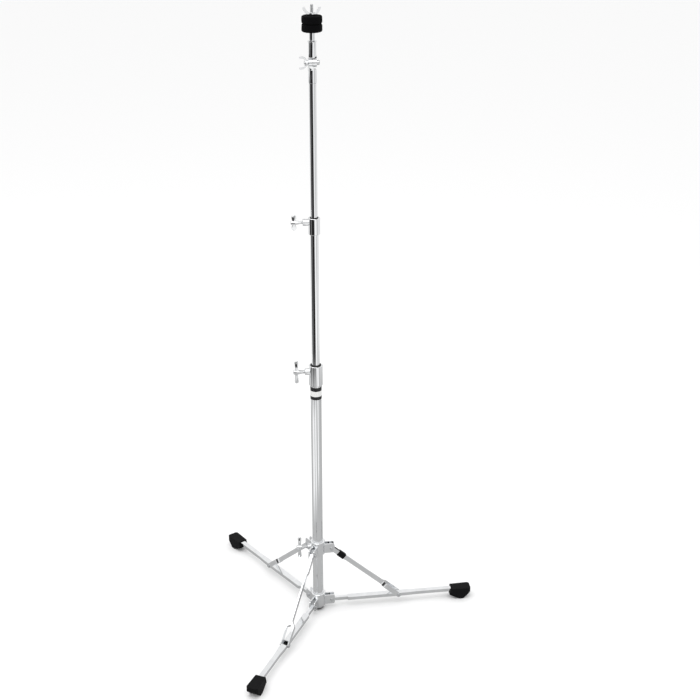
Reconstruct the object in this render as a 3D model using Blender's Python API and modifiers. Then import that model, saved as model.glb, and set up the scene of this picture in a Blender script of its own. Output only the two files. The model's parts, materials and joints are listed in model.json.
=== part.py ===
"""A low-base cymbal stand: a three-tube mast on a flat tripod, with a tilter and felts on top.

Metres, +Z up.  The floor is at Z = 0, and the origin is at the middle of the stand's footprint.
The mast stands on the line X = POLE_X, Y = 0.  The first leg points along +X.
"""
import bmesh
import bpy
from math import atan2, cos, hypot, pi, radians, sin
from mathutils import Matrix, Vector

NAME = "cymbal_stand"
MERGE = 0.00001

# Fits and clearances
GAP = 0.0003
PIN_FIT = 0.0003
SCREW_FIT = 0.0003
PIVOT_SIDE_GAP = 0.0006
FLOOR_GAP = 0.003

# Round pieces
ROUND_STEPS = 36
SMALL_STEPS = 18
ARC_STEPS = 5

# Mast tubes
BASE_TUBE_R = 0.0127
BASE_TUBE_WALL = 0.0015
MIDDLE_TUBE_R = 0.009525
MIDDLE_TUBE_WALL = 0.0013
TOP_TUBE_R = 0.00794
TOP_TUBE_WALL = 0.0012
BASE_TUBE_TOP = 0.646
MIDDLE_TUBE_BOTTOM = 0.360
MIDDLE_TUBE_TOP = 1.010
TOP_TUBE_BOTTOM = 0.745
TOP_TUBE_TOP = 1.331
PLUG_FLANGE = 0.0027
PLUG_DEPTH = 0.014

# Height clamps
LOWER_CLAMP_LOW = 0.6225
LOWER_CLAMP_HIGH = 0.6726
LOWER_CLAMP_WALL = 0.0031
LOWER_SCREW_Z = 0.657
UPPER_CLAMP_LOW = 0.993
UPPER_CLAMP_HIGH = 1.031
UPPER_CLAMP_WALL = 0.0035
UPPER_SCREW_Z = 1.0209
BUSHING_PROUD = 0.0015
CLAMP_BOSS_R = 0.0078
CLAMP_BOSS_REACH = 0.0255
CLAMP_CHAMFER = 0.0008

# Bands round the base tube, under the lower clamp
BAND_WALL = 0.0004
BAND_EDGES = (0.5875, 0.5957, 0.6094, 0.6186)
BAND_NAMES = ("lower_black_band", "label_band", "upper_black_band")

# Tripod
LEG_AZIMUTHS = (0.0, 120.0, 240.0)
PIVOT_R = 0.0335
LOWER_PIVOT_Z = 0.024
UPPER_PIVOT_Z = 0.174
JUNCTION_R = 0.204
PIN_R = 0.003
PIN_HEAD_R = 0.0045
PIN_HEAD_H = 0.0015

# Collars
COLLAR_WALL = 0.0048
COLLAR_BELOW = 0.0115
COLLAR_ABOVE = 0.0235
EAR_THICKNESS = 0.003
EAR_BELOW = 0.010
EAR_ABOVE = 0.015
EAR_PAST_PIN = 0.0075
EAR_CORNER = 0.005
COLLAR_SCREW_RISE = 0.008
COLLAR_BOSS_R = 0.0078
COLLAR_BOSS_REACH = 0.0255

# Legs
LEG_ROOT_WIDTH = 0.008
LEG_WIDTH = 0.015
LEG_TIP_WIDTH = 0.0125
LEG_HEIGHT = 0.0085
LEG_SHEET = 0.0016
LEG_STEP = 0.0395
LEG_STEP_LENGTH = 0.003
LEG_TAPER_START = 0.190
LEG_TAPER_END = 0.215
LEG_IN_FOOT = 0.030

# Rubber feet
FOOT_R = 0.336
FOOT_LENGTH = 0.054
FOOT_TOP = 0.030
FOOT_INNER_WIDTH = 0.022
FOOT_OUTER_WIDTH = 0.029
FOOT_CORNER = 0.006
FOOT_INNER_LOW = 0.013
FOOT_OUTER_LOW = 0.020
SOLE_START = 0.026
SOLE_END = 0.035

# Struts
STRUT_THICKNESS = 0.003
STRUT_DEPTH = 0.0115
STRUT_HEAD_LENGTH = 0.046
STRUT_HEAD_TAPER = 0.008
FORK_LENGTH = 0.046
FORK_FLARE = 0.010
FORK_EAR = 0.002
SLEEVE_START = 0.0235
SLEEVE_LENGTH = 0.020
SLEEVE_WALL = 0.001

# Clamping screws
SCREW_R = 0.004
SCREW_NECK = 0.031
SCREW_HUB_START = 0.038
SCREW_HUB_END = 0.0525
SCREW_HUB_R = 0.0055
SCREW_WING_AT = 0.045
SCREW_WING_REACH = 0.0235
SCREW_WING_WIDTH = 0.0092
SCREW_WING_ROOT = 0.0064
WING_THICKNESS = 0.0042
SMALL_SCREW_R = 0.003
SMALL_HUB_R = 0.0045
SMALL_WING_REACH = 0.0115
SMALL_WING_WIDTH = 0.0112

# Tilter
TILT_RISE = 0.0427
TILTER_R = 0.009
TILTER_LUG_R = 0.0098
TILTER_LUG_THICKNESS = 0.0087
TILTER_BODY_GAP = 0.0138
TILTER_UPPER_GAP = 0.0118
TILTER_RISE = 0.0459
TILTER_RIM = 0.0022
SPIGOT_LENGTH = 0.026
BOLT_R = 0.003
BOLT_HEAD_R = 0.0052
BOLT_HEAD_H = 0.0065
NUT_HUB_R = 0.0058
NUT_HUB_H = 0.0068
NUT_WING_OUT = 0.0185
NUT_WING_SIDE = 0.0115
NUT_WING_WIDTH = 0.0050

# Cymbal seat
SEAT_R = 0.00615
SEAT_LENGTH = 0.0181
STUD_R = 0.003
STUD_IN_TILTER = 0.0196
STUD_ABOVE_NUT_SEAT = 0.0255
SLEEVE_R = 0.005
FELT_R = 0.0225
FELT_HEIGHT = 0.0168
FELT_ROUND = 0.003
FELT_DISH = 0.003
FELT_DISH_R = 0.009
TOP_NUT_HUB_R = 0.0048
TOP_NUT_HUB_H = 0.0085
TOP_WING_OUT = 0.0165
TOP_WING_UP = 0.0175
TOP_WING_WIDTH = 0.0052
TOP_WING_THICKNESS = 0.0026
WING_BOW = 0.0024

# Sizes that follow from the ones above
STRUT_LENGTH = hypot(JUNCTION_R - PIVOT_R, UPPER_PIVOT_Z - LOWER_PIVOT_Z)
STRUT_DIP = atan2(UPPER_PIVOT_Z - LOWER_PIVOT_Z, JUNCTION_R - PIVOT_R)
LOWER_BORE_R = BASE_TUBE_R + GAP
UPPER_BORE_R = MIDDLE_TUBE_R + GAP
EAR_INSIDE = LEG_ROOT_WIDTH / 2 + PIVOT_SIDE_GAP
EAR_OUTSIDE = EAR_INSIDE + EAR_THICKNESS
FORK_INSIDE = LEG_WIDTH / 2 + PIVOT_SIDE_GAP
FORK_OUTSIDE = FORK_INSIDE + FORK_EAR
BASE_TUBE_BOTTOM = FLOOR_GAP + PLUG_FLANGE + GAP
TILT_Z = TOP_TUBE_TOP + TILT_RISE
TILTER_TOP = TILT_Z + TILTER_RISE
SEAT_TOP = TILTER_TOP + GAP + SEAT_LENGTH
STUD_BOTTOM = TILTER_TOP - STUD_IN_TILTER
LOWER_FELT_Z = SEAT_TOP + GAP
UPPER_FELT_Z = LOWER_FELT_Z + FELT_HEIGHT + GAP
TOP_NUT_Z = UPPER_FELT_Z + FELT_HEIGHT - FELT_DISH + GAP
STUD_TOP = TOP_NUT_Z + STUD_ABOVE_NUT_SEAT


def foot_plan():
    """Outline of a foot seen from above, from its inner end outwards along +X."""
    inner = FOOT_INNER_WIDTH / 2
    outer = FOOT_OUTER_WIDTH / 2
    far = arc(FOOT_LENGTH - FOOT_CORNER, outer - FOOT_CORNER, FOOT_CORNER, 90, 0)
    near = arc(FOOT_LENGTH - FOOT_CORNER, FOOT_CORNER - outer, FOOT_CORNER, 0, -90)
    return [(0, -inner), (0, inner)] + far + near


def arc(x, y, radius, start, end, steps=ARC_STEPS):
    """Points on an arc round (x, y) between two angles in degrees."""
    angles = [radians(start + (end - start) * i / steps) for i in range(steps + 1)]
    return [(x + radius * cos(a), y + radius * sin(a)) for a in angles]


def footprint_middle():
    """How far the mast stands from the middle of the footprint, along X."""
    reach = []
    for azimuth in LEG_AZIMUTHS:
        turn = radians(azimuth)
        reach += [(FOOT_R + x) * cos(turn) - y * sin(turn) for x, y in foot_plan()]
    return -(max(reach) + min(reach)) / 2


POLE_X = footprint_middle()


def clear_scene():
    for obj in list(bpy.data.objects):
        bpy.data.objects.remove(obj, do_unlink=True)


def new_collection(name):
    collection = bpy.data.collections.new(name)
    bpy.context.scene.collection.children.link(collection)
    return collection


clear_scene()
PARTS = new_collection(NAME)
CUTTERS = new_collection("cutters")


def material(name, colour, roughness, metallic):
    made = bpy.data.materials.new(name)
    made.use_nodes = True
    shader = made.node_tree.nodes["Principled BSDF"]
    shader.inputs["Base Color"].default_value = (*colour, 1.0)
    shader.inputs["Roughness"].default_value = roughness
    shader.inputs["Metallic"].default_value = metallic
    return made


CHROME = material("chrome", (0.86, 0.87, 0.88), 0.08, 1.0)
STEEL = material("plated_steel", (0.72, 0.73, 0.74), 0.25, 1.0)
RUBBER = material("rubber", (0.012, 0.012, 0.012), 0.75, 0.0)
FELT = material("felt", (0.010, 0.010, 0.011), 0.95, 0.0)
PLASTIC = material("black_plastic", (0.015, 0.015, 0.016), 0.4, 0.0)
LABEL = material("label", (0.75, 0.75, 0.74), 0.35, 0.0)


def axis_empty(name, location, turn=0.0, parent=None):
    """An empty on a joint's axis, which carries the pieces that turn or slide there."""
    empty = bpy.data.objects.new(name, None)
    empty.empty_display_size = 0.02
    empty.location = location
    empty.rotation_euler = (0, 0, turn)
    empty.parent = parent
    PARTS.objects.link(empty)
    return empty


def plain_mesh(obj):
    """The mesh that an object's modifiers or curve make, welded, with its faces outwards."""
    bpy.context.view_layer.update()
    graph = bpy.context.evaluated_depsgraph_get()
    mesh = bpy.data.meshes.new_from_object(obj.evaluated_get(graph))
    work = bmesh.new()
    work.from_mesh(mesh)
    bmesh.ops.remove_doubles(work, verts=work.verts, dist=MERGE)
    bmesh.ops.recalc_face_normals(work, faces=work.faces)
    work.to_mesh(mesh)
    work.free()
    return mesh


def drop(obj):
    bpy.data.objects.remove(obj, do_unlink=True)


def turned(name, profile, steps=ROUND_STEPS, closed=True):
    """A turned shape round its own Z axis.  The profile runs down the outer side first."""
    mesh = bpy.data.meshes.new(name)
    edges = [(i, i + 1) for i in range(len(profile) - 1)]
    if closed:
        edges.append((len(profile) - 1, 0))
    mesh.from_pydata([(r, 0, z) for r, z in profile], edges, [])
    obj = bpy.data.objects.new(name, mesh)
    CUTTERS.objects.link(obj)
    screw = obj.modifiers.new("turn", "SCREW")
    screw.steps = steps
    screw.render_steps = steps
    screw.use_merge_vertices = True
    screw.merge_threshold = MERGE
    return obj


def tube(name, outer, inner, low, high, chamfer=0.0, steps=ROUND_STEPS):
    """A round tube, with its outer edges chamfered if asked."""
    profile = [(outer, high - chamfer), (outer, low + chamfer), (inner, low), (inner, high)]
    if chamfer:
        profile.insert(2, (outer - chamfer, low))
        profile.append((outer - chamfer, high))
    return turned(name, profile, steps)


def rod(name, stations, steps=SMALL_STEPS):
    """A solid turned rod from (radius, height) stations, listed from the top down."""
    top = stations[0][1]
    bottom = stations[-1][1]
    return turned(name, [(0, top)] + list(stations) + [(0, bottom)], steps, closed=False)


def flat(name, outline, thickness, edge=0.0):
    """A flat plate in its own XY plane, thick along Z, with softened edges if asked."""
    curve = bpy.data.curves.new(name, "CURVE")
    curve.dimensions = "2D"
    curve.fill_mode = "BOTH"
    curve.extrude = thickness / 2
    spline = curve.splines.new("POLY")
    spline.points.add(len(outline) - 1)
    for point, (x, y) in zip(spline.points, outline):
        point.co = (x, y, 0, 1)
    spline.use_cyclic_u = True
    source = bpy.data.objects.new(name, curve)
    CUTTERS.objects.link(source)
    mesh = plain_mesh(source)
    drop(source)
    obj = bpy.data.objects.new(name, mesh)
    CUTTERS.objects.link(obj)
    if edge:
        bevel = obj.modifiers.new("soft_edges", "BEVEL")
        bevel.width = edge
        bevel.segments = 1
        bevel.limit_method = "ANGLE"
        bevel.angle_limit = radians(50)
    return obj


def set_at(obj, location=(0, 0, 0), turns=(), parent=None):
    """Place a piece: turns are (axis letter, degrees), the last one applied first."""
    matrix = Matrix.Identity(3)
    for axis, angle in turns:
        matrix = matrix @ Matrix.Rotation(radians(angle), 3, axis)
    obj.location = location
    obj.rotation_euler = matrix.to_euler()
    obj.parent = parent
    return obj


def joined(target, tool, operation="UNION"):
    """Join, cut or intersect the target with a tool that stays as a live, hidden guide."""
    boolean = target.modifiers.new(tool.name, "BOOLEAN")
    boolean.operation = operation
    boolean.solver = "EXACT"
    boolean.object = tool
    tool.hide_render = True
    tool.display_type = "WIRE"
    return target


def baked(target):
    """Turn a finished shape into a plain mesh with its place in it, and drop its tools."""
    tools = [m.object for m in target.modifiers if m.type == "BOOLEAN"]
    mesh = plain_mesh(target)
    mesh.transform(target.matrix_world)
    for tool in tools:
        drop(tool)
    drop(target)
    return mesh


def part(obj, finish):
    """Make a shape a part: into the parts collection, with its material and smooth shading."""
    if obj.name in CUTTERS.objects:
        CUTTERS.objects.unlink(obj)
    PARTS.objects.link(obj)
    obj.data.materials.clear()
    obj.data.materials.append(finish)
    smooth = obj.modifiers.get("turn")
    if smooth:
        smooth.use_smooth_shade = True
    else:
        obj.data.shade_smooth()
        obj.data.set_sharp_from_angle(angle=radians(35))
    return obj


def copy_of(name, mesh, finish):
    """A named part that shares its mesh with its likes."""
    return part(bpy.data.objects.new(name, mesh), finish)


def bar_between(name, radius, low, high, steps=SMALL_STEPS):
    """A plain round bar along its own Z axis."""
    return rod(name, [(radius, high), (radius, low)], steps)


# Mast


def build_base_tube(pole):
    inner = BASE_TUBE_R - BASE_TUBE_WALL
    part(set_at(tube("base_tube", BASE_TUBE_R, inner, BASE_TUBE_BOTTOM, BASE_TUBE_TOP), parent=pole), CHROME)
    plug_r = inner - GAP
    stations = [(plug_r, FLOOR_GAP + PLUG_DEPTH), (plug_r, FLOOR_GAP + PLUG_FLANGE),
                (BASE_TUBE_R, FLOOR_GAP + PLUG_FLANGE), (BASE_TUBE_R, FLOOR_GAP)]
    part(set_at(rod("base_plug", stations, ROUND_STEPS), parent=pole), PLASTIC)


def build_bands(pole):
    inner = BASE_TUBE_R + GAP
    finishes = (PLASTIC, LABEL, PLASTIC)
    for i, (name, finish) in enumerate(zip(BAND_NAMES, finishes)):
        band = tube(name, inner + BAND_WALL, inner, BAND_EDGES[i], BAND_EDGES[i + 1] - GAP)
        part(set_at(band, parent=pole), finish)


def build_clamp(name, bore, wall, low, high, screw_z, screw_r, parent):
    """A clamp casting with a threaded boss at -X."""
    casting = set_at(tube(name, bore + wall, bore, low, high, CLAMP_CHAMFER), parent=parent)
    boss = bar_between(name + "_boss", CLAMP_BOSS_R, bore + wall / 2, CLAMP_BOSS_REACH)
    set_at(boss, (0, 0, screw_z), [("Y", -90)], parent)
    hole = bar_between(name + "_hole", screw_r + SCREW_FIT, bore / 2, CLAMP_BOSS_REACH + wall)
    set_at(hole, (0, 0, screw_z), [("Y", -90)], parent)
    joined(casting, boss)
    joined(casting, hole, "DIFFERENCE")
    part(casting, CHROME)


def paddle(name, start, end, root_width, tip_width, thickness, bow):
    """One wing as a flat paddle from start to end in its own XZ plane, with a round tip, curved by bow."""
    sx, sz = start
    ex, ez = end
    span = hypot(ex - sx, ez - sz)
    heading = atan2(ez - sz, ex - sx)
    waist = 0.35
    shares = (0, 0.18, waist, 0.5, 0.65, 0.8, 0.92) if bow else (0, waist)
    left = []
    right = []
    for share in shares:
        sag = 4 * bow * share * (1 - share)
        half = (root_width + (tip_width - root_width) * max(0, share - waist) / (1 - waist)) / 2
        x = sx + cos(heading) * span * share + sin(heading) * sag
        z = sz + sin(heading) * span * share - cos(heading) * sag
        local = heading - atan2(4 * bow * (1 - 2 * share), span)
        left.append((x - sin(local) * half, z + cos(local) * half))
        right.append((x + sin(local) * half, z - cos(local) * half))
    last = (heading + atan2(4 * bow, span)) * 180 / pi
    outline = left + arc(ex, ez, tip_width / 2, last + 90, last - 90, 8) + right[::-1]
    plate = flat(name, outline, thickness, thickness * 0.2)
    return set_at(plate, turns=[("X", 90)])


def wing_pair(body, name, start, end, root_width, tip_width, thickness, bow=0.0):
    """Join two wings that face each other across the body's Z axis."""
    for label, turn in (("a", 0), ("b", 180)):
        wing = paddle(name + label, start, end, root_width, tip_width, thickness, bow)
        wing.rotation_euler = (Matrix.Rotation(radians(turn), 3, "Z") @ Matrix.Rotation(pi / 2, 3, "X")).to_euler()
        joined(body, wing)
    return body


def screw_mesh(name, tip, shaft_r, hub_r, reach, wing_width):
    """A clamping screw along +Z, its tip nearest the mast's axis, with two wings along X."""
    stations = [(hub_r * 0.75, SCREW_HUB_END), (hub_r, SCREW_HUB_END - 0.0015), (hub_r, SCREW_HUB_START + 0.002),
                (shaft_r, SCREW_NECK), (shaft_r, tip)]
    body = rod(name, stations)
    wing_pair(body, name + "_wing_", (0, SCREW_WING_AT), (reach, SCREW_WING_AT), SCREW_WING_ROOT,
              wing_width, WING_THICKNESS)
    return baked(body)


def build_screw(name, mesh, parent, z):
    set_at(copy_of(name, mesh, CHROME), (0, 0, z), [("Y", -90)], parent)


def build_mast(pole, bushing, middle, top_bushing, top):
    build_base_tube(pole)
    build_bands(pole)
    build_clamp("lower_clamp", LOWER_BORE_R, LOWER_CLAMP_WALL, LOWER_CLAMP_LOW, LOWER_CLAMP_HIGH,
                LOWER_SCREW_Z, SCREW_R, pole)
    lower = tube("lower_bushing", LOWER_BORE_R - GAP, UPPER_BORE_R, BASE_TUBE_TOP + GAP,
                 LOWER_CLAMP_HIGH + BUSHING_PROUD)
    part(set_at(lower, parent=bushing), PLASTIC)
    shell = tube("middle_tube", MIDDLE_TUBE_R, MIDDLE_TUBE_R - MIDDLE_TUBE_WALL, MIDDLE_TUBE_BOTTOM, MIDDLE_TUBE_TOP)
    part(set_at(shell, parent=middle), CHROME)
    build_clamp("upper_clamp", UPPER_BORE_R, UPPER_CLAMP_WALL, UPPER_CLAMP_LOW, UPPER_CLAMP_HIGH,
                UPPER_SCREW_Z, SMALL_SCREW_R, middle)
    upper = tube("upper_bushing", UPPER_BORE_R - GAP, TOP_TUBE_R + GAP, MIDDLE_TUBE_TOP + GAP,
                 UPPER_CLAMP_HIGH + BUSHING_PROUD)
    part(set_at(upper, parent=top_bushing), PLASTIC)
    shell = tube("top_tube", TOP_TUBE_R, TOP_TUBE_R - TOP_TUBE_WALL, TOP_TUBE_BOTTOM, TOP_TUBE_TOP)
    part(set_at(shell, parent=top), CHROME)


# Tripod


def ear_outline():
    """One collar ear seen from the side, X outwards from the mast's axis, Y up from the pin."""
    root = BASE_TUBE_R + COLLAR_WALL * 0.55
    out = PIVOT_R + EAR_PAST_PIN
    low = arc(out - EAR_CORNER, EAR_CORNER - EAR_BELOW, EAR_CORNER, -90, 0)
    high = arc(out - EAR_CORNER, EAR_ABOVE - EAR_CORNER, EAR_CORNER, 0, 90)
    return [(root, -EAR_BELOW)] + low + high + [(root, EAR_ABOVE)]


def build_collar(name, parent, with_boss):
    """A collar round the base tube with three clevises, and a screw boss at -X if asked."""
    bore = BASE_TUBE_R + GAP
    wall = BASE_TUBE_R + COLLAR_WALL
    casting = set_at(tube(name, wall + GAP, bore, -COLLAR_BELOW, COLLAR_ABOVE, CLAMP_CHAMFER), parent=parent)
    for azimuth in LEG_AZIMUTHS:
        for side in (-1, 1):
            ear = flat(name + "_ear", ear_outline(), EAR_THICKNESS)
            across = side * (EAR_INSIDE + EAR_THICKNESS / 2)
            turn = Matrix.Rotation(radians(azimuth), 3, "Z")
            set_at(ear, turn @ Vector((0, across, 0)), [("Z", azimuth), ("X", 90)], parent)
            joined(casting, ear)
        hole = bar_between(name + "_pin_hole", PIN_R + PIN_FIT, -2 * EAR_OUTSIDE, 2 * EAR_OUTSIDE)
        set_at(hole, turn @ Vector((PIVOT_R, 0, 0)), [("Z", azimuth), ("X", 90)], parent)
        joined(casting, hole, "DIFFERENCE")
    if with_boss:
        boss = bar_between(name + "_boss", COLLAR_BOSS_R, bore + COLLAR_WALL / 2, COLLAR_BOSS_REACH)
        joined(casting, set_at(boss, (0, 0, COLLAR_SCREW_RISE), [("Y", -90)], parent))
        hole = bar_between(name + "_screw_hole", SCREW_R + SCREW_FIT, bore / 2, COLLAR_BOSS_REACH + COLLAR_WALL)
        set_at(hole, (0, 0, COLLAR_SCREW_RISE), [("Y", -90)], parent)
        joined(casting, hole, "DIFFERENCE")
    part(casting, CHROME)


def pin_mesh():
    """A pivot pin along Z with a head outside each ear."""
    head = EAR_OUTSIDE + GAP
    stations = [(PIN_HEAD_R, head + PIN_HEAD_H), (PIN_HEAD_R, head), (PIN_R, head),
                (PIN_R, -head), (PIN_HEAD_R, -head), (PIN_HEAD_R, -head - PIN_HEAD_H)]
    return baked(rod("pivot_pin", stations))


def leg_plan(inset=0.0, start=-PIVOT_R, end=None):
    """Half widths of a leg against its distance from the pivot: narrow root, wide span, narrower tip."""
    end = FOOT_R - PIVOT_R + LEG_IN_FOOT if end is None else end
    root = LEG_ROOT_WIDTH / 2 - inset
    wide = LEG_WIDTH / 2 - inset
    tip = LEG_TIP_WIDTH / 2 - inset
    side = [(start, root), (LEG_STEP, root), (LEG_STEP + LEG_STEP_LENGTH, wide), (LEG_TAPER_START, wide),
            (LEG_TAPER_END, tip), (end, tip)]
    return side + [(x, -y) for x, y in reversed(side)]


def leg_mesh():
    """A pressed channel, open below, along +X from its pivot."""
    half = LEG_HEIGHT / 2
    end = FOOT_R - PIVOT_R + LEG_IN_FOOT
    side = arc(0, 0, half, 270, 90, 2 * ARC_STEPS) + [(end, half), (end, -half)]
    body = set_at(flat("leg", side, 2 * LEG_WIDTH), turns=[("X", 90)])
    joined(body, flat("leg_plan", leg_plan(end=2 * end), 4 * LEG_HEIGHT), "INTERSECT")
    channel = flat("leg_channel", leg_plan(LEG_SHEET, end=2 * end), 4 * LEG_HEIGHT)
    channel.location = (0, 0, half - LEG_SHEET - 2 * LEG_HEIGHT)
    joined(body, channel, "DIFFERENCE")
    for x in (0, JUNCTION_R - PIVOT_R):
        hole = bar_between("leg_pin_hole", PIN_R + PIN_FIT, -LEG_WIDTH, LEG_WIDTH)
        joined(body, set_at(hole, (x, 0, 0), [("X", 90)]), "DIFFERENCE")
    return baked(body)


def strut_plan():
    """A strut seen on edge: a thick head, a thin strip and a fork that straddles the leg."""
    head = LEG_ROOT_WIDTH / 2
    thin = STRUT_THICKNESS / 2
    end = STRUT_LENGTH + STRUT_DEPTH
    crotch = STRUT_LENGTH - FORK_LENGTH
    side = [(-STRUT_DEPTH, head), (STRUT_HEAD_LENGTH, head), (STRUT_HEAD_LENGTH + STRUT_HEAD_TAPER, thin),
            (crotch - FORK_FLARE - FORK_EAR, thin), (crotch, FORK_OUTSIDE), (end, FORK_OUTSIDE),
            (end, FORK_INSIDE), (crotch + FORK_EAR, FORK_INSIDE), (crotch - FORK_EAR, 0)]
    return side + [(x, -y) for x, y in reversed(side[:-1])]


def strut_side():
    """A strut seen from its side: a strip with round ends."""
    half = STRUT_DEPTH / 2
    outer = arc(STRUT_LENGTH, 0, half, 90, -90, 2 * ARC_STEPS)
    inner = arc(0, 0, half, 270, 90, 2 * ARC_STEPS)
    return outer + inner


def strut_mesh():
    """A strut along +X from its upper pivot."""
    body = set_at(flat("strut", strut_side(), 4 * FORK_OUTSIDE), turns=[("X", 90)])
    joined(body, flat("strut_plan", strut_plan(), 2 * STRUT_DEPTH), "INTERSECT")
    for x in (0, STRUT_LENGTH):
        hole = bar_between("strut_pin_hole", PIN_R + PIN_FIT, -2 * FORK_OUTSIDE, 2 * FORK_OUTSIDE)
        joined(body, set_at(hole, (x, 0, 0), [("X", 90)]), "DIFFERENCE")
    return baked(body)


def strut_rivet_mesh():
    """A rivet through one fork ear along Z, its head outside."""
    head = FORK_OUTSIDE + GAP
    stations = [(PIN_HEAD_R, head + PIN_HEAD_H), (PIN_HEAD_R, head), (PIN_R, head), (PIN_R, FORK_INSIDE)]
    return baked(rod("fork_rivet", stations))


def foot_mesh():
    """A rubber foot along +X, its inner end at the origin, its sole at the floor."""
    tilt = FOOT_INNER_LOW / 3
    side = [(tilt, FOOT_TOP), (0, FOOT_INNER_LOW), (SOLE_START, 0), (SOLE_END, 0),
            (FOOT_LENGTH, FOOT_OUTER_LOW), (FOOT_LENGTH, FOOT_TOP)]
    body = set_at(flat("foot", side, 2 * FOOT_OUTER_WIDTH), turns=[("X", 90)])
    plan = [(x if x < FOOT_LENGTH / 2 else x - MERGE, y) for x, y in foot_plan()]
    joined(body, flat("foot_plan", [(x - FOOT_LENGTH * (x == 0), y) for x, y in plan], 6 * FOOT_TOP), "INTERSECT")
    pocket_plan = [(-FOOT_LENGTH, -1), (LEG_IN_FOOT + GAP, -1), (LEG_IN_FOOT + GAP, 1), (-FOOT_LENGTH, 1)]
    half = LEG_TIP_WIDTH / 2 + GAP
    pocket = flat("foot_pocket", [(x, y * half) for x, y in pocket_plan], LEG_HEIGHT + 2 * GAP)
    pocket.location = (0, 0, LOWER_PIVOT_Z)
    joined(body, pocket, "DIFFERENCE")
    return baked(body)


def sleeve_mesh():
    """The rubber sleeve round a strut's head."""
    height = STRUT_DEPTH + 2 * GAP
    width = LEG_ROOT_WIDTH + 2 * GAP
    corner = SLEEVE_WALL
    tall = height / 2 + SLEEVE_WALL
    broad = width / 2 + SLEEVE_WALL
    outline = []
    for x, y, start in ((broad, tall, 0), (-broad, tall, 90), (-broad, -tall, 180), (broad, -tall, 270)):
        outline += arc(x - corner * (1 if x > 0 else -1), y - corner * (1 if y > 0 else -1), corner, start, start + 90, 3)
    body = flat("sleeve", outline, SLEEVE_LENGTH)
    bore = [(width / 2, -height / 2), (width / 2, height / 2), (-width / 2, height / 2), (-width / 2, -height / 2)]
    joined(body, flat("sleeve_bore", bore, 2 * SLEEVE_LENGTH), "DIFFERENCE")
    return baked(body)


def build_tripod(pole, collar):
    build_collar("lower_collar", axis_empty("lower_collar_seat", (0, 0, LOWER_PIVOT_Z), parent=pole), False)
    build_collar("upper_collar", collar, True)
    meshes = {"pin": pin_mesh(), "leg": leg_mesh(), "strut": strut_mesh(), "rivet": strut_rivet_mesh(),
              "foot": foot_mesh()}
    span = JUNCTION_R - PIVOT_R
    inner_pin = baked(bar_between("leg_pin", PIN_R, -LEG_WIDTH / 2, LEG_WIDTH / 2))
    for number, azimuth in enumerate(LEG_AZIMUTHS, 1):
        turn = radians(azimuth)
        place = (PIVOT_R * cos(turn), PIVOT_R * sin(turn), 0)
        low = Vector(place) + Vector((0, 0, LOWER_PIVOT_Z))
        leg_axis = axis_empty("leg_axis_%d" % number, low, turn, pole)
        strut_axis = axis_empty("strut_axis_%d" % number, place, turn, collar)
        across = [("X", 90)]
        set_at(copy_of("lower_pin_%d" % number, meshes["pin"], STEEL), turns=across, parent=leg_axis)
        set_at(copy_of("upper_pin_%d" % number, meshes["pin"], STEEL), turns=across, parent=strut_axis)
        set_at(copy_of("leg_%d" % number, meshes["leg"], CHROME), parent=leg_axis)
        set_at(copy_of("leg_pin_%d" % number, inner_pin, STEEL), (span, 0, 0), across, leg_axis)
        foot_place = (FOOT_R - PIVOT_R, 0, -LOWER_PIVOT_Z)
        set_at(copy_of("foot_%d" % number, meshes["foot"], RUBBER), foot_place, parent=leg_axis)
        dip = STRUT_DIP * 180 / pi
        set_at(copy_of("strut_%d" % number, meshes["strut"], CHROME), turns=[("Y", dip)], parent=strut_axis)
        end = (span, 0, LOWER_PIVOT_Z - UPPER_PIVOT_Z)
        for label, tip in (("left", -90), ("right", 90)):
            rivet = copy_of("strut_%s_rivet_%d" % (label, number), meshes["rivet"], STEEL)
            set_at(rivet, end, [("X", tip)], strut_axis)
        if number == 1:
            along = SLEEVE_START + SLEEVE_LENGTH / 2
            centre = (along * cos(STRUT_DIP), 0, -along * sin(STRUT_DIP))
            sleeve = copy_of("strut_sleeve", sleeve_mesh(), RUBBER)
            set_at(sleeve, centre, [("Y", 90 + dip), ("Z", 90)], strut_axis)


# Tilter and cymbal seat


def lug(name, side, parent):
    """A round lug on one side of the tilt plane."""
    disc = bar_between(name, TILTER_LUG_R, GAP / 2, TILTER_LUG_THICKNESS, ROUND_STEPS)
    return set_at(disc, (0, 0, TILT_Z), [("Y", 90 * side)], parent)


def neck(name, side, reach, parent):
    """The block that carries a lug on its tilter body."""
    width = TILTER_LUG_THICKNESS - GAP / 2
    half = TILTER_LUG_R * 0.8
    sign = 1 if reach > 0 else -1
    block = flat(name, [(-width / 2, -half), (width / 2, -half), (width / 2, half), (-width / 2, half)], abs(reach))
    middle = side * (GAP / 2 + width / 2)
    return set_at(block, (middle, 0, TILT_Z + sign * abs(reach) / 2), parent=parent)


def bolt_hole(name, parent):
    hole = bar_between(name, BOLT_R + PIN_FIT, -4 * TILTER_R, 4 * TILTER_R)
    return set_at(hole, (0, 0, TILT_Z), [("Y", 90)], parent)


def build_tilter_lower(parent):
    shoulder = TILT_Z - TILTER_BODY_GAP
    spigot = TOP_TUBE_R - TOP_TUBE_WALL - GAP
    low = TOP_TUBE_TOP + GAP
    stations = [(TILTER_R - CLAMP_CHAMFER, shoulder), (TILTER_R, shoulder - CLAMP_CHAMFER), (TILTER_R, low),
                (spigot, low), (spigot, low - SPIGOT_LENGTH)]
    body = set_at(rod("tilter_lower", stations, ROUND_STEPS), parent=parent)
    joined(body, neck("tilter_lower_neck", -1, -TILTER_BODY_GAP - 0.004, parent))
    joined(body, lug("tilter_lower_lug", -1, parent))
    joined(body, bolt_hole("tilter_lower_hole", parent), "DIFFERENCE")
    part(body, CHROME)


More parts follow.
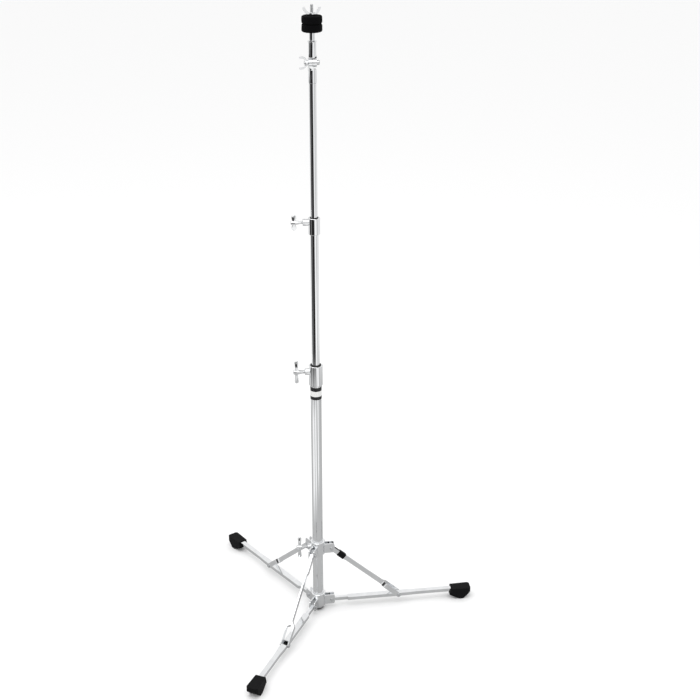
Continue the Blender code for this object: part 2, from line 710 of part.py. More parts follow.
def build_tilter_upper(parent):
    shoulder = TILT_Z + TILTER_UPPER_GAP
    rim = TILTER_R + 0.0003
    stations = [(rim - CLAMP_CHAMFER, TILTER_TOP), (rim, TILTER_TOP - CLAMP_CHAMFER), (rim, TILTER_TOP - TILTER_RIM),
                (TILTER_R - 0.0004, TILTER_TOP - TILTER_RIM - 0.0006), (TILTER_R - 0.0004, shoulder)]
    body = rod("tilter_upper", stations, ROUND_STEPS)
    body.data.transform(Matrix.Translation((0, 0, -TILT_Z)))
    set_at(body, (0, 0, TILT_Z), parent=parent)
    joined(body, neck("tilter_upper_neck", 1, TILTER_UPPER_GAP + 0.004, parent))
    joined(body, lug("tilter_upper_lug", 1, parent))
    joined(body, bolt_hole("tilter_upper_hole", parent), "DIFFERENCE")
    drill = bar_between("tilter_stud_hole", STUD_R + GAP, STUD_BOTTOM - GAP, STUD_TOP)
    joined(body, set_at(drill, parent=parent), "DIFFERENCE")
    part(body, CHROME)


def build_tilt_bolt(parent):
    """The tilter's bolt: head at +X, thread out to the wing nut at -X."""
    inside = TILTER_LUG_THICKNESS + GAP
    tip = inside + NUT_HUB_H + 0.002
    stations = [(BOLT_HEAD_R - 0.001, inside + BOLT_HEAD_H), (BOLT_HEAD_R, inside + BOLT_HEAD_H - 0.001),
                (BOLT_HEAD_R, inside), (BOLT_R, inside), (BOLT_R, -tip)]
    bolt = rod("tilter_bolt", stations)
    part(set_at(bolt, (0, 0, TILT_Z), [("Y", 90)], parent), STEEL)


def build_tilt_nut(parent):
    """The tilter's wing nut, its two wings leaning outwards."""
    seat = TILTER_LUG_THICKNESS + GAP
    top = seat + NUT_HUB_H
    bore = BOLT_R + PIN_FIT
    body = tube("tilter_wing_nut", NUT_HUB_R, bore, seat, top, 0.0008, SMALL_STEPS)
    start = (NUT_HUB_R - 0.0015, seat + NUT_HUB_H * 0.55)
    end = (NUT_WING_SIDE, seat + NUT_WING_OUT - NUT_WING_WIDTH / 2)
    wing_pair(body, "tilter_nut_wing_", start, end, NUT_WING_WIDTH * 0.8, NUT_WING_WIDTH, TOP_WING_THICKNESS,
              WING_BOW)
    joined(body, bar_between("tilter_nut_bore", bore, 0, 2 * top), "DIFFERENCE")
    set_at(copy_of("tilter_wing_nut", baked(body), CHROME), (0, 0, TILT_Z), [("Y", -90)], parent)


def build_seat(parent):
    post = tube("seat_post", SEAT_R, STUD_R + GAP, TILTER_TOP + GAP, SEAT_TOP)
    part(set_at(post, parent=parent), CHROME)
    stud = rod("threaded_stud", [(STUD_R - 0.0006, STUD_TOP), (STUD_R, STUD_TOP - 0.0008), (STUD_R, STUD_BOTTOM)])
    part(set_at(stud, parent=parent), STEEL)
    sleeve = tube("cymbal_sleeve", SLEEVE_R, STUD_R + GAP, LOWER_FELT_Z, TOP_NUT_Z - GAP, 0, SMALL_STEPS)
    part(set_at(sleeve, parent=parent), PLASTIC)
    build_felt("lower_felt", LOWER_FELT_Z, 0.0, parent)
    build_felt("upper_felt", UPPER_FELT_Z, FELT_DISH, parent)


def build_felt(name, low, dish, parent):
    """A round felt washer, its top drawn down at the middle if it has a dish."""
    hole = SLEEVE_R + GAP
    high = low + FELT_HEIGHT
    top = [(FELT_R - FELT_ROUND + x, high - FELT_ROUND + y) for x, y in arc(0, 0, FELT_ROUND, 90, 0, 4)]
    bottom = [(FELT_R - FELT_ROUND + x, low + FELT_ROUND + y) for x, y in arc(0, 0, FELT_ROUND, 0, -90, 4)]
    profile = top + bottom + [(hole, low), (hole, high - dish)]
    if dish:
        profile += [(FELT_DISH_R * 0.75, high - dish), (FELT_DISH_R * 1.5, high - dish * 0.1)]
    part(set_at(turned(name, profile), parent=parent), FELT)


def build_top_nut(parent):
    """The wing nut that holds the cymbal down, its wings curving up and out."""
    low = TOP_NUT_Z
    body = tube("top_wing_nut", TOP_NUT_HUB_R, STUD_R + GAP, low, low + TOP_NUT_HUB_H, 0.0008, SMALL_STEPS)
    start = (TOP_NUT_HUB_R - 0.0012, low + TOP_NUT_HUB_H * 0.6)
    end = (TOP_WING_OUT, low + TOP_WING_UP)
    wing_pair(body, "top_nut_wing_", start, end, TOP_WING_WIDTH * 0.9, TOP_WING_WIDTH, TOP_WING_THICKNESS,
              WING_BOW)
    joined(body, bar_between("top_nut_bore", STUD_R + GAP, low - GAP, STUD_TOP), "DIFFERENCE")
    set_at(copy_of("top_wing_nut", baked(body), CHROME), parent=parent)


def build_stand():
    pole = axis_empty("mast_axis", (POLE_X, 0, 0))
    collar = axis_empty("upper_collar_axis", (0, 0, UPPER_PIVOT_Z), parent=pole)
    bushing = axis_empty("middle_turn_axis", (0, 0, 0), parent=pole)
    middle = axis_empty("middle_slide_axis", (0, 0, 0), parent=bushing)
    top_bushing = axis_empty("top_turn_axis", (0, 0, 0), parent=middle)
    top = axis_empty("top_slide_axis", (0, 0, 0), parent=top_bushing)
    build_mast(pole, bushing, middle, top_bushing, top)
    build_tripod(pole, collar)
    large = screw_mesh("t_screw", LOWER_BORE_R, SCREW_R, SCREW_HUB_R, SCREW_WING_REACH, SCREW_WING_WIDTH)
    small = screw_mesh("small_t_screw", UPPER_BORE_R, SMALL_SCREW_R, SMALL_HUB_R, SMALL_WING_REACH, SMALL_WING_WIDTH)
    build_screw("lower_t_screw", large, pole, LOWER_SCREW_Z)
    build_screw("collar_wing_screw", large, collar, COLLAR_SCREW_RISE)
    build_screw("upper_t_screw", small, middle, UPPER_SCREW_Z)
    build_tilter_lower(top)
    build_tilt_bolt(top)
    build_tilt_nut(top)
    build_tilter_upper(top)
    build_seat(top)
    build_top_nut(top)
    bpy.context.view_layer.update()


build_stand()
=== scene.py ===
"""Looks of a low-base cymbal stand: finishes, softened edges, felts, threads and a plain studio."""
import json
from math import cos, pi, radians, sin

import bmesh
import bpy
from mathutils import Matrix, Vector, noise


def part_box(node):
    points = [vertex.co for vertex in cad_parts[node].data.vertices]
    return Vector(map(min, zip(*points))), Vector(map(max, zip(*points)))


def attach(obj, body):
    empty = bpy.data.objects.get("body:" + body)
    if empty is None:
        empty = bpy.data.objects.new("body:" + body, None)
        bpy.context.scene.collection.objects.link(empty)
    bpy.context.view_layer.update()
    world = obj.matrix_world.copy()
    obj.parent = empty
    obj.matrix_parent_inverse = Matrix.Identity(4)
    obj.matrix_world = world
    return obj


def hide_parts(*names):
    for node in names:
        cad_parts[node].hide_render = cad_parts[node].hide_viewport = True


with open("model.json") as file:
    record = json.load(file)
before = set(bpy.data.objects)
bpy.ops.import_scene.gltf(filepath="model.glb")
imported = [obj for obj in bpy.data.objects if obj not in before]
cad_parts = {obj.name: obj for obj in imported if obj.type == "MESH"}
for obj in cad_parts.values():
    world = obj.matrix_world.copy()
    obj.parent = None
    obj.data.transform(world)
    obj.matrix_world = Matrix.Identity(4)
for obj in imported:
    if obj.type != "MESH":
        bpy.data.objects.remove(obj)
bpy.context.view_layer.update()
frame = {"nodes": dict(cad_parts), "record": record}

bl_info = {
    "name": "Cymbal Stand Finish",
    "version": (1, 0, 0),
    "blender": (4, 5, 0),
    "location": "View3D > Sidebar > Stand",
    "description": "Dresses a chrome cymbal stand with its finishes, felts and threads",
    "category": "Object",
}

SLOTS = {item["node"]: item["material_slot"] for item in frame["record"]["subparts"]}
BODY_OF = {node: body for body, nodes in frame["record"]["behaviour"]["bodies"].items() for node in nodes}
LATHE_STEPS = 96
WELD = 1e-6
FLAT_ANGLE = radians(1)
SHARP_TURNED = radians(40)
SHARP_CAST = radians(35)
BEVEL_ANGLE = radians(40)
BEVEL_STEPS = 2

# Wall of each turned piece, as in the CAD, in metres
WALLS = {"base_tube": 0.0015, "middle_tube": 0.0013, "top_tube": 0.0012, "lower_bushing": 0.0029,
         "upper_bushing": 0.0013, "seat_post": 0.00285, "lower_black_band": 0.0004, "label_band": 0.0004,
         "upper_black_band": 0.0004}

# Grain of the finishes
GRAIN_DETAIL = 6
GRAIN_DARKER = 0.9
GRAIN_LIGHTER = 1.1
RELIEF_DEPTH = 0.0005

# Felts: lengths in metres, shares of the felt's own sizes, and lumps to the metre
FELTS = ("lower_felt", "upper_felt")
FELT_HOLE = 0.0054
HOLE_REACH = 1.3
FELT_ROUND_SHARE = 0.22
FELT_RING_STEPS = 14
FELT_CORNER_STEPS = 6
FELT_SIDE_STEPS = 6
NUT_SINK = 0.0032
NUT_DIP = 0.0042
NUT_DIP_REACH = 0.62
NUT_DIP_ABOVE = 0.3
COARSE_LUMPS = 160
COARSE_OFFSET = 7
FINE_LUMPS = 900
EDGE_IN = 0.6
EDGE_WAVER = 0.5
EDGE_FUZZ = 0.2
FACE_WAVER = 0.02

# Threads: crest size as a share of the pitch, and where the clamping screws show theirs
CREST_SHARE = 0.28
CREST_STEPS = 4
TURN_STEPS = 32
STUD_THREAD_R = 0.0030
STUD_THREAD_ABOVE_NUT = 0.009
SCREW_THREAD_AT = 0.0262
SCREW_THREAD_LENGTH = 0.0045
SCREW_THREADS = (("lower_screw_thread", "lower_t_screw", 0.0040),
                 ("collar_screw_thread", "collar_wing_screw", 0.0040),
                 ("upper_screw_thread", "upper_t_screw", 0.0030))

# Camera, its place measured from the mast's foot
CAMERA_PLACE = (-0.3272, -2.7954, 1.9396)
CAMERA_TURN = (66.4, 0, -8.3)
CAMERA_LENS = 68.2
CAMERA_SENSOR = 36

# Studio. The painted reflection tones, seen only in the chrome, are (position, shade) marks: round the mast
# for the floor, up the sky for the sky
LAMP_POWER = 40
LAMP_SIZE = 3.0
LAMP_PLACE = (-0.8, -1.0, 3.4)
LAMP_TURN = (16, -12, 0)
SKY_WHITE = (1, 1, 1, 1)
SKY_STRENGTH = 1.02
FLOOR_SIZE = 30
FLOOR_ROUGHNESS = 0.9
UNDERFOOT_FADE = (0.5, 0.7)
NEAR_FADE = (1.15, 1.65)
FLOOR_WHITE = (0.93, 0.93, 0.93, 1)
# Painted reflection of the floor, shown only to glossy rays: grey under the legs, then bands near and far
PAINTED_REFLECTION_UNDERFOOT = (0.42, 0.42, 0.42, 1)
PAINTED_REFLECTION_NEAR_FLOOR = ((0.22, 0.42), (0.26, 0.8), (0.36, 0.8), (0.375, 0.06), (0.395, 0.75), (0.46, 0.8),
                       (0.50, 0.42), (0.54, 0.42), (0.57, 0.8), (0.62, 0.85), (0.635, 0.06), (0.655, 0.6),
                       (0.70, 0.42))
PAINTED_REFLECTION_FAR_FLOOR = ((0.0, 0.7), (0.20, 0.8), (0.22, 0.02), (0.30, 0.03), (0.325, 0.25), (0.35, 0.02),
                  (0.49, 0.012), (0.51, 0.85), (0.62, 0.85), (0.64, 0.12), (0.67, 0.75))
# Painted reflection of the sky, shown only to glossy rays
PAINTED_REFLECTION_SKY = ((0.0, 0.6), (0.49, 0.06), (0.54, 0.06), (0.57, 0.85), (0.61, 0.85), (0.625, 0.12),
                (0.645, 0.92), (0.76, 0.95), (0.78, 0.9), (0.9, 0.9), (0.95, 0.15), (1.0, 0.3))


def middle(node):
    """The middle of a node's box."""
    low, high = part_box(node)
    return (Vector(low) + Vector(high)) / 2


POLE = middle("base_tube")


class StandSizes(bpy.types.PropertyGroup):
    """Sizes of the fine forms."""
    edge: bpy.props.FloatProperty(name="Edge", description="Softened edge width", default=0.0004,
                                  unit="LENGTH")
    pitch: bpy.props.FloatProperty(name="Thread pitch", description="Height of one thread turn",
                                   default=0.001, unit="LENGTH")
    lump: bpy.props.FloatProperty(name="Felt lumps", description="Unevenness of the felts", default=0.0007,
                                  unit="LENGTH")


class StandColours(bpy.types.PropertyGroup):
    """Colours of the finishes."""
    chrome: bpy.props.FloatVectorProperty(name="Chrome", description="Plate colour", subtype="COLOR",
                                          default=(0.87, 0.88, 0.89))
    steel: bpy.props.FloatVectorProperty(name="Steel", description="Pin colour", subtype="COLOR",
                                         default=(0.70, 0.71, 0.72))
    rubber: bpy.props.FloatVectorProperty(name="Rubber", description="Foot colour", subtype="COLOR",
                                          default=(0.004, 0.004, 0.0044))
    felt: bpy.props.FloatVectorProperty(name="Felt", description="Felt colour", subtype="COLOR",
                                        default=(0.003, 0.003, 0.0033))
    nylon: bpy.props.FloatVectorProperty(name="Nylon", description="Bushing colour", subtype="COLOR",
                                         default=(0.012, 0.012, 0.013))
    label: bpy.props.FloatVectorProperty(name="Label", description="Bare band colour", subtype="COLOR",
                                         default=(0.72, 0.72, 0.71))


def surface(name, colour, metallic, roughness, spread, scale, bump, stretch=(1, 1, 1), sheen=0.0, shine=0.5):
    """A finish whose shade, roughness and relief vary over the surface at one grain size."""
    made = bpy.data.materials.new(name)
    made.use_nodes = True
    nodes = made.node_tree.nodes
    link = made.node_tree.links.new
    shader = nodes["Principled BSDF"]
    shader.inputs["Metallic"].default_value = metallic
    shader.inputs["Sheen Weight"].default_value = sheen
    shader.inputs["Specular IOR Level"].default_value = shine
    place = nodes.new("ShaderNodeTexCoord")
    turn = nodes.new("ShaderNodeMapping")
    turn.inputs["Scale"].default_value = stretch
    link(place.outputs["Object"], turn.inputs["Vector"])
    grain = nodes.new("ShaderNodeTexNoise")
    grain.inputs["Scale"].default_value = scale
    grain.inputs["Detail"].default_value = GRAIN_DETAIL
    link(turn.outputs["Vector"], grain.inputs["Vector"])
    gloss = nodes.new("ShaderNodeMapRange")
    gloss.inputs["To Min"].default_value = roughness - spread
    gloss.inputs["To Max"].default_value = roughness + spread
    link(grain.outputs["Fac"], gloss.inputs["Value"])
    link(gloss.outputs["Result"], shader.inputs["Roughness"])
    shade = nodes.new("ShaderNodeMix")
    shade.data_type = "RGBA"
    shade.inputs["A"].default_value = (*[c * GRAIN_DARKER for c in colour], 1)
    shade.inputs["B"].default_value = (*[min(1, c * GRAIN_LIGHTER) for c in colour], 1)
    link(grain.outputs["Fac"], shade.inputs["Factor"])
    link(shade.outputs["Result"], shader.inputs["Base Color"])
    relief = nodes.new("ShaderNodeBump")
    relief.inputs["Strength"].default_value = bump
    relief.inputs["Distance"].default_value = RELIEF_DEPTH
    link(grain.outputs["Fac"], relief.inputs["Height"])
    link(relief.outputs["Normal"], shader.inputs["Normal"])


def finishes():
    """The stand's finishes by material slot, made once."""
    if "mirror_chrome" not in bpy.data.materials:
        paint = bpy.context.scene.stand_colours
        surface("mirror_chrome", paint.chrome, 1.0, 0.06, 0.03, 60, 0.01, (1, 1, 0.15))
        surface("plated_pins", paint.steel, 1.0, 0.25, 0.08, 900, 0.08)
        surface("moulded_rubber", paint.rubber, 0.0, 0.62, 0.12, 1600, 0.35, shine=0.12)
        surface("pressed_felt", paint.felt, 0.0, 0.95, 0.04, 2200, 1.0, sheen=0.01, shine=0.05)
        surface("black_nylon", paint.nylon, 0.0, 0.42, 0.08, 1200, 0.1, shine=0.3)
        surface("gloss_band", paint.nylon, 0.0, 0.22, 0.05, 400, 0.04, shine=0.3)
        surface("bare_label", paint.label, 0.0, 0.32, 0.06, 500, 0.04)
    named = {"chrome": "mirror_chrome", "plated_steel": "plated_pins", "black_rubber": "moulded_rubber",
             "black_felt": "pressed_felt", "black_nylon": "black_nylon", "black_band": "gloss_band",
             "label": "bare_label"}
    return {slot: bpy.data.materials[name] for slot, name in named.items()}


def finished(name, mesh, node):
    """A finished piece that stands for a node: its slot, its body and its material."""
    mesh.materials.clear()
    mesh.materials.append(finishes()[SLOTS[node]])
    piece = bpy.data.objects.new(name, mesh)
    bpy.context.scene.collection.objects.link(piece)
    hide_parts(node)
    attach(piece, BODY_OF[node])
    return piece


def lathe(name, profile, place):
    """A closed turned mesh from (radius, height) points that go once round the section."""
    work = bmesh.new()
    rings = []
    for r, z in profile:
        turns = [2 * pi * i / LATHE_STEPS for i in range(LATHE_STEPS)]
        rings.append([work.verts.new((place.x + r * cos(a), place.y + r * sin(a), z)) for a in turns])
    for i, ring in enumerate(rings):
        after = rings[(i + 1) % len(rings)]
        for j in range(LATHE_STEPS):
            k = (j + 1) % LATHE_STEPS
            work.faces.new((ring[j], after[j], after[k], ring[k]))
    bmesh.ops.remove_doubles(work, verts=work.verts, dist=WELD)
    bmesh.ops.recalc_face_normals(work, faces=work.faces)
    mesh = bpy.data.meshes.new(name)
    work.to_mesh(mesh)
    work.free()
    mesh.shade_smooth()
    mesh.set_sharp_from_angle(angle=SHARP_TURNED)
    return mesh


def make_turned(node, edge):
    """A tube or ring at a fine roundness, its rims rounded."""
    low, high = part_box(node)
    outer = (high[0] - low[0]) / 2
    inner = outer - WALLS[node]
    e = min(edge, WALLS[node] / 3)
    bottom, top = low[2], high[2]
    rim = [(outer, top - e), (outer, top - 2 * e), (outer, bottom + 2 * e), (outer, bottom + e),
           (outer - e * 0.3, bottom + e * 0.3), (outer - e, bottom), (inner + e, bottom), (inner, bottom + e),
           (inner, bottom + 2 * e), (inner, top - 2 * e), (inner, top - e), (inner + e, top),
           (outer - e, top), (outer - e * 0.3, top - e * 0.3)]
    finished(node + "_turned", lathe(node + "_turned", rim, middle(node)), node)


def make_softened(node, edge):
    """A cast or pressed piece with its edges softened."""
    work = bmesh.new()
    work.from_mesh(frame["nodes"][node].data)
    bmesh.ops.remove_doubles(work, verts=work.verts, dist=WELD)
    bmesh.ops.dissolve_limit(work, angle_limit=FLAT_ANGLE, verts=work.verts, edges=work.edges)
    mesh = bpy.data.meshes.new(node + "_soft")
    work.to_mesh(mesh)
    work.free()
    mesh.shade_smooth()
    mesh.set_sharp_from_angle(angle=SHARP_CAST)
    piece = finished(node + "_soft", mesh, node)
    bevel = piece.modifiers.new("edge", "BEVEL")
    bevel.width = edge
    bevel.segments = BEVEL_STEPS
    bevel.limit_method = "ANGLE"
    bevel.angle_limit = BEVEL_ANGLE
    bevel.harden_normals = True


def felt_profile(outer, bottom, top):
    """Section of a washer with rounded outer corners, once round, as (radius, height) points."""
    tall = top - bottom
    corner = tall * FELT_ROUND_SHARE
    flat = outer - corner - FELT_HOLE
    turns = [radians(90 * i / FELT_CORNER_STEPS) for i in range(FELT_CORNER_STEPS + 1)]
    points = [(FELT_HOLE + flat * i / FELT_RING_STEPS, top) for i in range(FELT_RING_STEPS + 1)]
    points += [(outer - corner + corner * sin(a), top - corner + corner * cos(a)) for a in turns[1:]]
    points += [(outer, top - corner - (tall - 2 * corner) * i / FELT_SIDE_STEPS)
               for i in range(1, FELT_SIDE_STEPS)]
    points += [(outer - corner + corner * cos(a), bottom + corner - corner * sin(a)) for a in turns]
    points += [(outer - corner - flat * i / FELT_RING_STEPS, bottom) for i in range(1, FELT_RING_STEPS + 1)]
    return points[::-1]


def make_felt(node, lump):
    """A pressed felt washer, rounded, uneven, and pinched where the nut draws it down."""
    low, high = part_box(node)
    outer = (high[0] - low[0]) / 2
    tall = high[2] - low[2]
    centre = middle(node)
    mesh = lathe(node + "_pressed", felt_profile(outer, low[2], high[2]), centre)
    under_nut = node == "upper_felt"
    for vert in mesh.vertices:
        offset = vert.co - centre
        reach = Vector((offset.x, offset.y)).length
        if reach < FELT_HOLE * HOLE_REACH:
            if under_nut and offset.z > 0:
                vert.co.z -= NUT_SINK
            continue
        coarse = noise.noise(vert.co * COARSE_LUMPS + Vector((0, 0, COARSE_OFFSET)))
        fine = noise.noise(vert.co * FINE_LUMPS)
        shrink = 1 - (EDGE_IN + EDGE_WAVER * coarse + EDGE_FUZZ * abs(fine)) * lump / outer
        vert.co.x = centre.x + offset.x * shrink
        vert.co.y = centre.y + offset.y * shrink
        vert.co.z = centre.z + offset.z * (1 - FACE_WAVER * (1 + coarse))
        if under_nut and offset.z > tall * NUT_DIP_ABOVE:
            dip = max(0.0, 1 - reach / (outer * NUT_DIP_REACH))
            vert.co.z -= NUT_DIP * dip ** 0.5
    mesh.update()
    finished(node + "_pressed", mesh, node)


def thread_tree():
    """Thread turns as closed rings along +Z, with named sizes."""
    tree = bpy.data.node_groups.new("thread_turns", "GeometryNodeTree")
    face = tree.interface
    for name in ("Radius", "Depth", "Length", "Pitch"):
        face.new_socket(name, in_out="INPUT", socket_type="NodeSocketFloat")
    face.new_socket("Finish", in_out="INPUT", socket_type="NodeSocketMaterial")
    face.new_socket("Mesh", in_out="OUTPUT", socket_type="NodeSocketGeometry")
    nodes = tree.nodes
    link = tree.links.new
    given = nodes.new("NodeGroupInput")
    count = nodes.new("ShaderNodeMath")
    count.operation = "DIVIDE"
    link(given.outputs["Length"], count.inputs[0])
    link(given.outputs["Pitch"], count.inputs[1])
    step = nodes.new("ShaderNodeCombineXYZ")
    link(given.outputs["Pitch"], step.inputs["Z"])
    line = nodes.new("GeometryNodeMeshLine")
    line.mode = "OFFSET"
    link(count.outputs[0], line.inputs["Count"])
    link(step.outputs["Vector"], line.inputs["Offset"])
    turn = nodes.new("GeometryNodeCurvePrimitiveCircle")
    turn.inputs["Resolution"].default_value = TURN_STEPS
    link(given.outputs["Radius"], turn.inputs["Radius"])
    crest = nodes.new("GeometryNodeCurvePrimitiveCircle")
    crest.inputs["Resolution"].default_value = CREST_STEPS
    link(given.outputs["Depth"], crest.inputs["Radius"])
    ring = nodes.new("GeometryNodeCurveToMesh")
    link(turn.outputs["Curve"], ring.inputs["Curve"])
    link(crest.outputs["Curve"], ring.inputs["Profile Curve"])
    spread = nodes.new("GeometryNodeInstanceOnPoints")
    link(line.outputs["Mesh"], spread.inputs["Points"])
    link(ring.outputs["Mesh"], spread.inputs["Instance"])
    real = nodes.new("GeometryNodeRealizeInstances")
    link(spread.outputs["Instances"], real.inputs["Geometry"])
    paint = nodes.new("GeometryNodeSetMaterial")
    link(real.outputs["Geometry"], paint.inputs["Geometry"])
    link(given.outputs["Finish"], paint.inputs["Material"])
    out = nodes.new("NodeGroupOutput")
    link(paint.outputs["Geometry"], out.inputs["Mesh"])
    return tree


def make_thread(name, body, radius, start, length, pitch, turned=Matrix.Identity(4)):
    """Thread turns on a shaft, made by nodes and kept as a plain mesh."""
    tree = bpy.data.node_groups.get("thread_turns") or thread_tree()
    holder = bpy.data.objects.new(name + "_source", bpy.data.meshes.new(name))
    bpy.context.scene.collection.objects.link(holder)
    nodes = holder.modifiers.new("turns", "NODES")
    nodes.node_group = tree
    values = {"Radius": radius, "Depth": pitch * CREST_SHARE, "Length": length, "Pitch": pitch,
              "Finish": finishes()["plated_steel"]}
    for socket in tree.interface.items_tree:
        if socket.in_out == "INPUT":
            nodes[socket.identifier] = values[socket.name]
    bpy.context.view_layer.update()
    mesh = bpy.data.meshes.new_from_object(holder.evaluated_get(bpy.context.evaluated_depsgraph_get()))
    bpy.data.objects.remove(holder, do_unlink=True)
    mesh.transform(Matrix.Translation(start) @ turned)
    work = bmesh.new()
    work.from_mesh(mesh)
    bmesh.ops.recalc_face_normals(work, faces=work.faces)
    work.to_mesh(mesh)
    work.free()
    piece = bpy.data.objects.new(name, mesh)
    bpy.context.scene.collection.objects.link(piece)
    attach(piece, body)


class STAND_OT_metal(bpy.types.Operator):
    """Dress the cast, pressed, drawn and moulded pieces"""
    bl_idname = "stand.metal"
    bl_label = "Tubes and castings"

    def execute(self, context):
        edge = context.scene.stand_sizes.edge
        for node in SLOTS:
            if node in FELTS:
                continue
            if node in WALLS:
                make_turned(node, edge)
            else:
                make_softened(node, edge)
        return {"FINISHED"}


class STAND_OT_felts(bpy.types.Operator):
    """Make the two pressed felts"""
    bl_idname = "stand.felts"
    bl_label = "Felts"

    def execute(self, context):
        for node in FELTS:
            make_felt(node, context.scene.stand_sizes.lump)
        return {"FINISHED"}


class STAND_OT_threads(bpy.types.Operator):
    """Make the thread turns that show on the stud and the screws"""
    bl_idname = "stand.threads"
    bl_label = "Threads"

    def execute(self, context):
        pitch = context.scene.stand_sizes.pitch
        stud = middle("threaded_stud")
        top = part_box("threaded_stud")[1][2]
        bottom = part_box("top_wing_nut")[0][2] + STUD_THREAD_ABOVE_NUT
        start = (stud.x, stud.y, bottom)
        make_thread("stud_thread", "tilt_head", STUD_THREAD_R, start, top - bottom - pitch, pitch)
        out = Matrix.Rotation(-pi / 2, 4, "Y")
        for name, node, radius in SCREW_THREADS:
            low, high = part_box(node)
            start = (POLE.x - SCREW_THREAD_AT, 0, (low[2] + high[2]) / 2)
            make_thread(name, BODY_OF[node], radius, start, SCREW_THREAD_LENGTH, pitch, out)
        return {"FINISHED"}


def tone_ramp(nodes, marks):
    """A colour ramp of greys from (position, shade) marks."""
    ramp = nodes.new("ShaderNodeValToRGB")
    while len(ramp.color_ramp.elements) < len(marks):
        ramp.color_ramp.elements.new(1.0)
    for element, (at, shade) in zip(ramp.color_ramp.elements, marks):
        element.position = at
        element.color = (shade, shade, shade, 1)
    return ramp


def math_node(nodes, operation, second=0.0, third=0.0):
    """A math node with its fixed second and third values."""
    made = nodes.new("ShaderNodeMath")
    made.operation = operation
    for socket, value in zip(made.inputs[1:], (second, third)):
        socket.default_value = value
    return made


def mix_node(nodes, first=None):
    """A colour mix, with its first colour if that is fixed."""
    made = nodes.new("ShaderNodeMix")
    made.data_type = "RGBA"
    if first:
        made.inputs["A"].default_value = first
    return made


def fade_node(nodes, ends):
    """A rise from 0 to 1 between two values."""
    made = nodes.new("ShaderNodeMapRange")
    made.inputs["From Min"].default_value, made.inputs["From Max"].default_value = ends
    return made


def stage_surface():
    """A plain pale floor. Seen mirrored in the chrome it carries painted reflection: dark and light bands,
    and painted grey under the legs.
    """
    made = bpy.data.materials.new("pale_floor")
    made.use_nodes = True
    nodes = made.node_tree.nodes
    link = made.node_tree.links.new
    shader = nodes["Principled BSDF"]
    shader.inputs["Roughness"].default_value = FLOOR_ROUGHNESS
    shader.inputs["Specular IOR Level"].default_value = 0.0

    # Share of a full turn round the mast, and distance along the floor
    place = nodes.new("ShaderNodeTexCoord")
    split = nodes.new("ShaderNodeSeparateXYZ")
    link(place.outputs["Object"], split.inputs["Vector"])
    across = math_node(nodes, "SUBTRACT", POLE.x)
    link(split.outputs["X"], across.inputs[0])
    ahead = math_node(nodes, "MULTIPLY", -1.0)
    link(split.outputs["Y"], ahead.inputs[0])
    angle = math_node(nodes, "ARCTAN2")
    link(across.outputs[0], angle.inputs[0])
    link(ahead.outputs[0], angle.inputs[1])
    share = math_node(nodes, "MULTIPLY_ADD", 0.5 / pi, 0.5)
    link(angle.outputs[0], share.inputs[0])
    reach = nodes.new("ShaderNodeVectorMath")
    reach.operation = "LENGTH"
    link(place.outputs["Object"], reach.inputs[0])

    # Painted reflection: grey under the legs, then the near bands, then the far ones
    near = mix_node(nodes, PAINTED_REFLECTION_UNDERFOOT)
    far = mix_node(nodes)
    for mix, fade, marks in ((near, UNDERFOOT_FADE, PAINTED_REFLECTION_NEAR_FLOOR), (far, NEAR_FADE, PAINTED_REFLECTION_FAR_FLOOR)):
        rise = fade_node(nodes, fade)
        link(reach.outputs["Value"], rise.inputs["Value"])
        link(rise.outputs["Result"], mix.inputs["Factor"])
        bands = tone_ramp(nodes, marks)
        link(share.outputs[0], bands.inputs["Fac"])
        link(bands.outputs["Color"], mix.inputs["B"])
    link(near.outputs["Result"], far.inputs["A"])

    # Glossy rays see the painted reflection bands; camera rays see the plain pale floor
    path = nodes.new("ShaderNodeLightPath")
    seen = mix_node(nodes, FLOOR_WHITE)
    link(path.outputs["Is Glossy Ray"], seen.inputs["Factor"])
    link(far.outputs["Result"], seen.inputs["B"])
    link(seen.outputs["Result"], shader.inputs["Base Color"])
    return made


def studio_world():
    """A white sky. Seen mirrored in the chrome it carries painted reflection: light with darker bands."""
    world = bpy.data.worlds.new("studio")
    world.use_nodes = True
    bpy.context.scene.world = world
    nodes = world.node_tree.nodes
    link = world.node_tree.links.new
    back = nodes["Background"]
    place = nodes.new("ShaderNodeTexCoord")
    split = nodes.new("ShaderNodeSeparateXYZ")
    link(place.outputs["Generated"], split.inputs["Vector"])
    ramp = tone_ramp(nodes, PAINTED_REFLECTION_SKY)
    half = math_node(nodes, "MULTIPLY_ADD", 0.5, 0.5)
    link(split.outputs["Z"], half.inputs[0])
    link(half.outputs[0], ramp.inputs["Fac"])
    # Glossy rays see the painted reflection bands; camera rays see the white sky
    path = nodes.new("ShaderNodeLightPath")
    seen = mix_node(nodes, SKY_WHITE)
    link(path.outputs["Is Glossy Ray"], seen.inputs["Factor"])
    link(ramp.outputs["Color"], seen.inputs["B"])
    link(seen.outputs["Result"], back.inputs["Color"])
    back.inputs["Strength"].default_value = SKY_STRENGTH


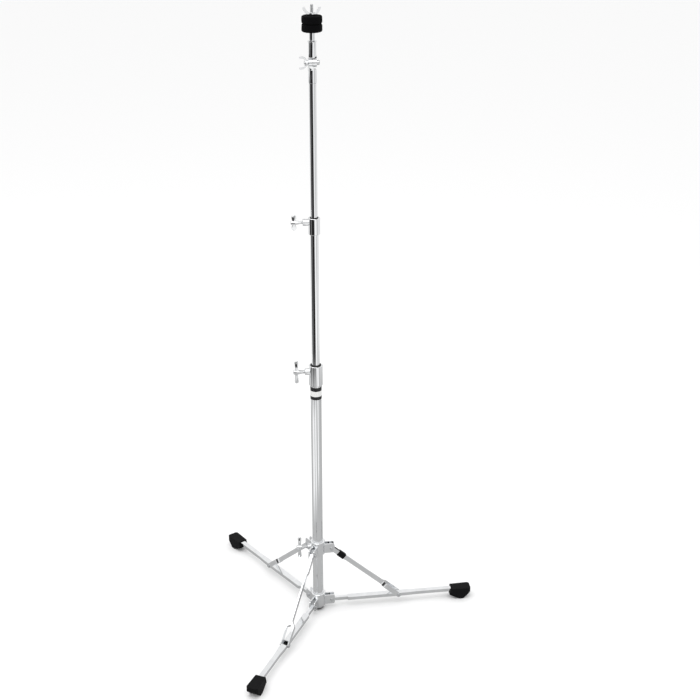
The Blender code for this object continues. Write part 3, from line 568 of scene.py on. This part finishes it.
class STAND_OT_stage(bpy.types.Operator):
    """Set the floor, the lights and the camera"""
    bl_idname = "stand.stage"
    bl_label = "Stage"

    def execute(self, context):
        scene = context.scene
        scene.view_settings.view_transform = "Standard"
        bpy.ops.mesh.primitive_plane_add(size=FLOOR_SIZE, location=(0, 0, 0))
        floor = context.object
        floor.name = "floor"
        floor.data.materials.append(stage_surface())
        studio_world()
        lamp = bpy.data.lights.new("soft_top", "AREA")
        lamp.energy = LAMP_POWER
        lamp.size = LAMP_SIZE
        top = bpy.data.objects.new("soft_top", lamp)
        top.location = LAMP_PLACE
        top.rotation_euler = [radians(angle) for angle in LAMP_TURN]
        scene.collection.objects.link(top)
        camera = bpy.data.objects.new("camera", bpy.data.cameras.new("camera"))
        camera.data.lens = CAMERA_LENS
        camera.data.sensor_width = CAMERA_SENSOR
        camera.location = Vector((POLE.x, 0, 0)) + Vector(CAMERA_PLACE)
        camera.rotation_euler = [radians(angle) for angle in CAMERA_TURN]
        scene.collection.objects.link(camera)
        scene.camera = camera
        return {"FINISHED"}


class STAND_PT_panel(bpy.types.Panel):
    """The stand's pieces and sizes"""
    bl_idname = "STAND_PT_panel"
    bl_label = "Cymbal stand"
    bl_space_type = "VIEW_3D"
    bl_region_type = "UI"
    bl_category = "Stand"

    def draw(self, context):
        for operator in OPERATORS:
            self.layout.operator(operator.bl_idname)
        for group in (context.scene.stand_sizes, context.scene.stand_colours):
            for name in group.__annotations__:
                self.layout.prop(group, name)


OPERATORS = (STAND_OT_metal, STAND_OT_felts, STAND_OT_threads, STAND_OT_stage)
CLASSES = (StandSizes, StandColours) + OPERATORS + (STAND_PT_panel,)


def register():
    """Add the sizes, the colours, the operators and the panel."""
    for item in CLASSES:
        bpy.utils.register_class(item)
    bpy.types.Scene.stand_sizes = bpy.props.PointerProperty(type=StandSizes)
    bpy.types.Scene.stand_colours = bpy.props.PointerProperty(type=StandColours)


def unregister():
    """Take out what register() added."""
    del bpy.types.Scene.stand_colours
    del bpy.types.Scene.stand_sizes
    for item in reversed(CLASSES):
        bpy.utils.unregister_class(item)


def main():
    """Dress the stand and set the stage."""
    register()
    bpy.ops.stand.metal()
    bpy.ops.stand.felts()
    bpy.ops.stand.threads()
    bpy.ops.stand.stage()


if __name__ == "__main__":
    main()
